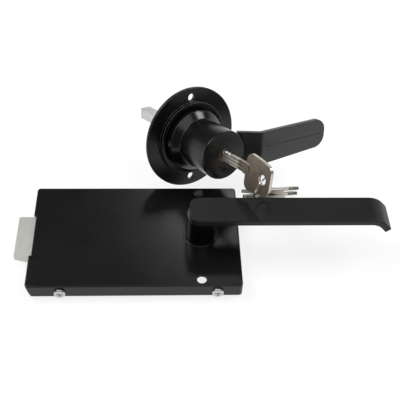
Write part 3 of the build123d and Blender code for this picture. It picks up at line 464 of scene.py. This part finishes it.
key_tree.links.new(key_bump.outputs["Normal"], key_shader.inputs["Normal"])
print("worn key has", len(key_tree.nodes), "nodes")

# %% [markdown]
# ## Nylon
# The slippery washer under the skirt is natural nylon: pale, slightly see-through and faintly
# marked from moulding. A little subsurface colour is not worth its render time on so thin a
# ring, so it is a plain soft plastic with a fine cloud.

# %% Nylon
nylon, nylon_tree, nylon_shader = open_material("nylon")
nylon_cloud = use(nylon_tree, coat_group, {"Peel per metre": 500.0, "Tooth share": 0.2})
cloudy = nylon_cloud.outputs["Mottle"]
nylon_tone = two_tone(nylon_tree, (0.60, 0.59, 0.54), (0.70, 0.69, 0.64), cloudy)
nylon_tree.links.new(nylon_tone, nylon_shader.inputs["Base Color"])
nylon_tree.links.new(between(nylon_tree, 0.42, 0.52, cloudy), nylon_shader.inputs["Roughness"])
nylon_bump = add(nylon_tree, "ShaderNodeBump", {"Strength": 0.15, "Distance": 0.05 * MM})
nylon_tree.links.new(nylon_cloud.outputs["Height"], nylon_bump.inputs["Height"])
nylon_tree.links.new(nylon_bump.outputs["Normal"], nylon_shader.inputs["Normal"])
print("nylon ready")

# %% [markdown]
# ## Dressing the frame
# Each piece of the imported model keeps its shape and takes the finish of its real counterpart.
# Only the material slots change.

# %% Finishes on the pieces
finishes = {
    case_black: ["case_cover", "front_bush"],
    chassis_black: ["chassis_plate"],
    lever_black: ["inner_lever"],
    barrel_black: ["outer_barrel", "lever_hub"],
    paddle_black: ["outer_lever"],
    rose_black: ["rose_plate"],
    pale_latch: ["latch_bolt"],
    bright_zinc: ["cover_screws", "bracket_rivets", "latch_rivets", "follower_grub_screw",
                  "barrel_grub_screw", "spindle", "spindle_carrier", "back_washer"],
    zinc_sheet: ["latch_slide", "spring_bracket", "follower", "back_bush"],
    spring_wire: ["spring_rods", "spindle_pin", "retaining_ring"],
    turned_brass: ["lock_cylinder", "plug_cam", "lock_slide"],
    plug_bronze: ["cylinder_plug"],
    key_wear_and_painted_reflection: ["key"],
    key_nickel: ["spare_key_lower", "spare_key_upper"],
    nylon: ["rose_washer"],
}
dressed = 0
for material, names in finishes.items():
    for name in names:
        for slot in nodes[name].material_slots:
            slot.material = material
        dressed += 1
print("dressed", dressed, "of", len(nodes), "nodes")

# %% [markdown]
# ## Wound wire with Geometry Nodes
# Two pieces of this lock are wound from wire: the two latch springs inside the case and the
# split ring that carries the keys. A helix follows a rule, so one Geometry Nodes tree makes
# both. It sweeps a round section along a spiral curve. The turns, radius, length, wire size and
# steps per turn are named inputs. The result becomes a plain mesh, and the modifier is removed.

# %% Geometry Nodes: wound wire
def wire_tree():
    """A tree that winds a round wire, with inputs for its turns, radius, length and wire."""
    tree = bpy.data.node_groups.new("wound_wire", "GeometryNodeTree")
    sockets = tree.interface
    sockets.new_socket("Geometry", in_out="INPUT", socket_type="NodeSocketGeometry")
    for label in ("Turns", "Radius", "Length", "Wire", "Steps per turn"):
        sockets.new_socket(label, in_out="INPUT", socket_type="NodeSocketFloat")
    sockets.new_socket("Finish", in_out="INPUT", socket_type="NodeSocketMaterial")
    sockets.new_socket("Geometry", in_out="OUTPUT", socket_type="NodeSocketGeometry")
    given, made = tree.nodes.new("NodeGroupInput"), tree.nodes.new("NodeGroupOutput")
    spiral = add(tree, "GeometryNodeCurveSpiral")
    tree.links.new(given.outputs["Steps per turn"], spiral.inputs["Resolution"])
    tree.links.new(given.outputs["Turns"], spiral.inputs["Rotations"])
    tree.links.new(given.outputs["Radius"], spiral.inputs["Start Radius"])
    tree.links.new(given.outputs["Radius"], spiral.inputs["End Radius"])
    tree.links.new(given.outputs["Length"], spiral.inputs["Height"])
    section = add(tree, "GeometryNodeCurvePrimitiveCircle", {"Resolution": 12})
    tree.links.new(times(tree, given.outputs["Wire"], 0.5), section.inputs["Radius"])
    sweep = add(tree, "GeometryNodeCurveToMesh", {"Fill Caps": True})
    tree.links.new(spiral.outputs["Curve"], sweep.inputs["Curve"])
    tree.links.new(section.outputs["Curve"], sweep.inputs["Profile Curve"])
    smooth = add(tree, "GeometryNodeSetShadeSmooth")
    realize = add(tree, "GeometryNodeRealizeInstances")
    finish = add(tree, "GeometryNodeSetMaterial")
    tree.links.new(sweep.outputs["Mesh"], smooth.inputs["Geometry"])
    tree.links.new(smooth.outputs["Geometry"], realize.inputs["Geometry"])
    tree.links.new(realize.outputs["Geometry"], finish.inputs["Geometry"])
    tree.links.new(given.outputs["Finish"], finish.inputs["Material"])
    tree.links.new(finish.outputs["Geometry"], made.inputs["Geometry"])
    return tree


wound_wire = wire_tree()
print("wound wire tree has", len(wound_wire.nodes), "nodes")

# %% [markdown]
# The tree is used through two helpers. The first sets the inputs, takes the result as a plain
# mesh and moves it to its place. The second joins meshes into one object at the origin, as the
# frame's own pieces are.

# %% Helpers: wind and join
def wind(name, tree, values, finish, place):
    """A plain mesh from the tree, moved to its place in the frame."""
    holder = bpy.data.objects.new(name + "_holder", bpy.data.meshes.new(name + "_empty"))
    bpy.context.scene.collection.objects.link(holder)
    modifier = holder.modifiers.new("wire", "NODES")
    modifier.node_group = tree
    for item in tree.interface.items_tree:
        if item.in_out == "INPUT" and item.name in values:
            modifier[item.identifier] = values[item.name]
        if item.in_out == "INPUT" and item.name == "Finish":
            modifier[item.identifier] = finish
    wound = holder.evaluated_get(bpy.context.evaluated_depsgraph_get())
    mesh = bpy.data.meshes.new_from_object(wound)
    holder.modifiers.remove(modifier)
    bpy.data.objects.remove(holder)
    mesh.transform(place)
    mesh.name = name
    return mesh


def join(name, meshes):
    """Several meshes as one object at the origin."""
    points, faces, base = [], [], 0
    for mesh in meshes:
        points += [v.co[:] for v in mesh.vertices]
        faces += [[base + i for i in p.vertices] for p in mesh.polygons]
        base = len(points)
    joined = bpy.data.meshes.new(name)
    joined.from_pydata(points, [], faces)
    for material in meshes[0].materials:
        joined.materials.append(material)
    joined.polygons.foreach_set("use_smooth", [True] * len(faces))
    piece = bpy.data.objects.new(name, joined)
    bpy.context.scene.collection.objects.link(piece)
    return piece


print("wind and join ready")

# %% [markdown]
# ### The two latch springs
# They lie on the guide rods between the latch and the bracket and push the latch out. Both are
# one mesh, because they are one node of the frame and ride on the case. On the real lock they
# shorten from their fixed end when the latch is drawn.

# %% Latch springs
SPRING_WIRE = 0.9 * MM
low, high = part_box("latch_springs")
spring_middle_z = (low[2] + high[2]) / 2
spring_radius = (high[2] - low[2] - SPRING_WIRE) / 2
spring_length = high[0] - low[0] - SPRING_WIRE
spring_reach = (high[1] - low[1] - SPRING_WIRE) / 2 - spring_radius
spring_sizes = {"Turns": 8.0, "Radius": spring_radius, "Length": spring_length,
                "Wire": SPRING_WIRE, "Steps per turn": 24.0}
spring_meshes = []
for side in (-1, 1):
    foot = Vector((low[0] + SPRING_WIRE / 2, side * spring_reach, spring_middle_z))
    lie = Matrix.Translation(foot) @ Matrix.Rotation(pi / 2, 4, "Y")
    spring_meshes.append(wind("latch_spring", wound_wire, spring_sizes, spring_wire, lie))
springs = join("wound_latch_springs", spring_meshes)
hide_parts("latch_springs")
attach(springs, "lock_case")
low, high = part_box("latch_springs")
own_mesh(springs)
print("springs have", len(springs.data.polygons), "faces")

# %% [markdown]
# ### The split ring
# The keys hang on a split ring: one thin wire wound twice round. It is the same tree with two
# turns, which rise by one wire in all, so that they lie close together. The frame's plain ring
# says where it goes: its middle is the middle of that ring's box, and it is turned onto the line
# that the wire hangs along and the line that it runs along where it passes through the key's
# hole.

# %% Split ring
HANGS_ALONG = Vector((0.088, 0.333, -0.939)).normalized()
RUNS_ALONG = Vector((0.634, 0.708, 0.310))
RING_WIRE, RING_RADIUS = 0.8 * MM, 8.9 * MM
low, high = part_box("key_ring")
ring_middle = (Vector(low) + Vector(high)) / 2
ring_axis = HANGS_ALONG.cross(RUNS_ALONG).normalized()
ring_side = ring_axis.cross(HANGS_ALONG)
ring_turn = Matrix((HANGS_ALONG, ring_side, ring_axis)).transposed().to_4x4()
ring_place = Matrix.Translation(ring_middle) @ ring_turn @ Matrix.Translation((0, 0, -RING_WIRE / 2))
ring_sizes = {"Turns": 2.0, "Radius": RING_RADIUS, "Length": RING_WIRE, "Wire": RING_WIRE,
              "Steps per turn": 56.0}
split_ring_mesh = wind("split_ring", wound_wire, ring_sizes, ring_wire, ring_place)
split_ring = join("split_key_ring", [split_ring_mesh])
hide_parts("key_ring")
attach(split_ring, "ring")
across_mm = round((2 * RING_RADIUS + RING_WIRE) / MM, 1)
print("split ring is", across_mm, "mm across,", len(split_ring.data.polygons), "faces")

# %% [markdown]
# ## Floor
# The picture is on plain white. The floor is a diffuse sheet that keeps the soft shadow, and
# what the camera and mirror-like metal see of it is lifted to white by Light Path, without more
# light on the object. The white table ends a little in front of the lock, as it does in a studio,
# so faces that look at the photographer mirror a dark room.

# %% Floor
TABLE_FRONT, TABLE_REACH, TABLE_GAP = -0.30, 3.0, 0.2 * MM
TABLE_TONE, TABLE_TONE_SEEN, TABLE_LIFT = 0.80, 0.22, 0.82
floor_mesh = bpy.data.meshes.new("white_floor")
floor_corners = [(-TABLE_REACH, TABLE_FRONT, 0), (TABLE_REACH, TABLE_FRONT, 0),
                 (TABLE_REACH, TABLE_REACH, 0), (-TABLE_REACH, TABLE_REACH, 0)]
floor_mesh.from_pydata(floor_corners, [], [(0, 1, 2, 3)])
floor = bpy.data.objects.new("white_floor", floor_mesh)
floor.location = (0, 0, -TABLE_GAP)
bpy.context.scene.collection.objects.link(floor)
floor_paint, floor_tree, floor_shader = open_material("white_floor_paint")
floor_shader.inputs["Roughness"].default_value = 0.9
floor_shader.inputs["Specular IOR Level"].default_value = 0.1
path = add(floor_tree, "ShaderNodeLightPath")
seen = times(floor_tree, path.outputs["Is Camera Ray"], path.outputs["Is Glossy Ray"], "MAXIMUM")
seen = times(floor_tree, seen, path.outputs["Is Transmission Ray"], "MAXIMUM")
floor_tone = two_tone(floor_tree, (TABLE_TONE,) * 3, (TABLE_TONE_SEEN,) * 3, seen)
floor_tree.links.new(floor_tone, floor_shader.inputs["Base Color"])
floor_shader.inputs["Emission Color"].default_value = (1, 1, 1, 1)
floor_tree.links.new(times(floor_tree, seen, TABLE_LIFT), floor_shader.inputs["Emission Strength"])
floor_mesh.materials.append(floor_paint)
print("the table ends", -TABLE_FRONT, "m in front of the hub")

# %% [markdown]
# ## World
# The camera sees plain white all round. The lock sees a dim room with a white backdrop low down
# behind it, which the black coat mirrors at flat angles. Two smooth masks on the direction of
# the sky place the backdrop: one for how high it reaches, one for how far round it goes.

# %% World
DIM_ROOM, BACKDROP = 0.12, 0.95
world = bpy.data.worlds.new("white_world")
world.use_nodes = True
bpy.context.scene.world = world
sky_tree = world.node_tree
sky = sky_tree.nodes["Background"]
sky_path = add(sky_tree, "ShaderNodeLightPath")
sky_place = add(sky_tree, "ShaderNodeTexCoord")
sky_parts = add(sky_tree, "ShaderNodeSeparateXYZ")
sky_tree.links.new(sky_place.outputs["Generated"], sky_parts.inputs["Vector"])
low_down = times(sky_tree, 1.0, ramp(sky_tree, 0.08, 0.34, sky_parts.outputs["Z"]), "SUBTRACT")
behind = ramp(sky_tree, -0.2, 0.5, sky_parts.outputs["Y"])
backdrop = between(sky_tree, DIM_ROOM, BACKDROP, times(sky_tree, low_down, behind))
sky_level = times(sky_tree, backdrop, sky_path.outputs["Is Camera Ray"], "MAXIMUM")
sky_tree.links.new(sky_level, sky.inputs["Strength"])
sky.inputs["Color"].default_value = (1, 1, 1, 1)
print("the backdrop is", round(BACKDROP / DIM_ROOM, 1), "times as bright as the room")

# %% [markdown]
# ## Lamps
# Large soft lamps from the left, right and above give the long soft highlights on the black
# coat, and a small one behind puts the sheen on the case. Each looks at the hub. Its place and
# its side are in metres and its power in watts.

# %% Lamps
def soft_lamp(name, at, size, power):
    """A square area lamp that looks at the hub."""
    data = bpy.data.lights.new(name, "AREA")
    data.shape = "SQUARE"
    data.size = size
    data.energy = power
    lamp = bpy.data.objects.new(name, data)
    lamp.location = at
    lamp.rotation_euler = (-Vector(at)).to_track_quat("-Z", "Y").to_euler()
    bpy.context.scene.collection.objects.link(lamp)


soft_lamp("softbox_left", at=(-0.7, 0.25, 0.9), size=0.6, power=7.0)
soft_lamp("softbox_right", at=(0.80, 0.26, 0.78), size=0.36, power=4.0)
soft_lamp("softbox_top", at=(0.14, -0.25, 1.1), size=0.85, power=3.4)
soft_lamp("softbox_back", at=(0.09, 0.88, 0.89), size=0.17, power=0.68)
bpy.context.scene.view_settings.view_transform = "Standard"
print("lamps:", [lamp.name for lamp in bpy.data.lights])
